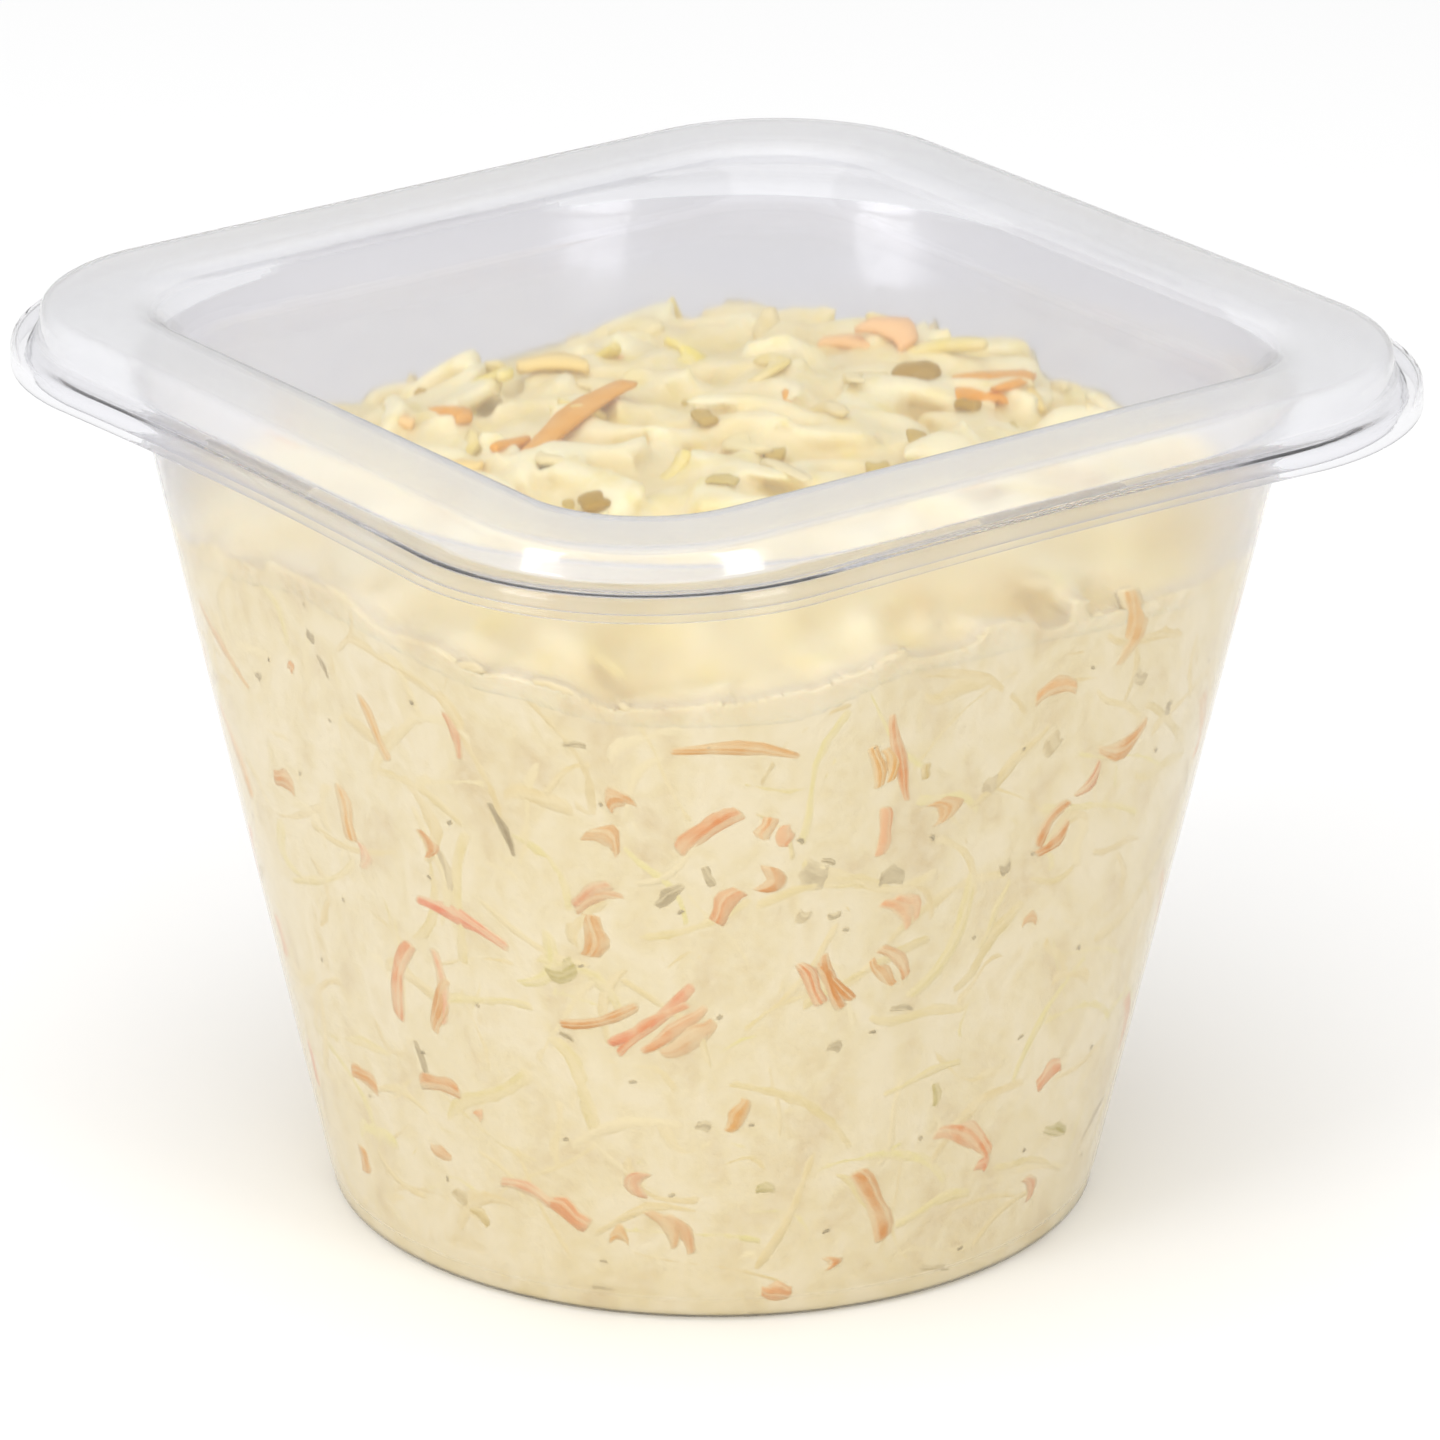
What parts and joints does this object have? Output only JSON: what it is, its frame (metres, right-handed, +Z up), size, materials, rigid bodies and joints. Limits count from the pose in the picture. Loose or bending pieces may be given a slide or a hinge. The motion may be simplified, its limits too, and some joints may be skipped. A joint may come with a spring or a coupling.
{
  "type": "coleslaw in a clear lidded cup",
  "caption": "Clear lidded deli cup, round at the foot and square with rounded corners at the mouth, filled with creamy shredded coleslaw.",
  "frame": {"origin": "middle of the foot, on the surface the cup stands on", "axes": "+Z up; X and Y square to the flat sides of the lid"},
  "size_m": [0.1194, 0.1194, 0.0945],
  "materials": {
    "clear_plastic": "glossy",
    "coleslaw": "moist, satin"
  },
  "bodies": {
    "root": {"cup": "clear_plastic", "lid": "clear_plastic", "coleslaw": "coleslaw"}
  },
  "joints": []
}
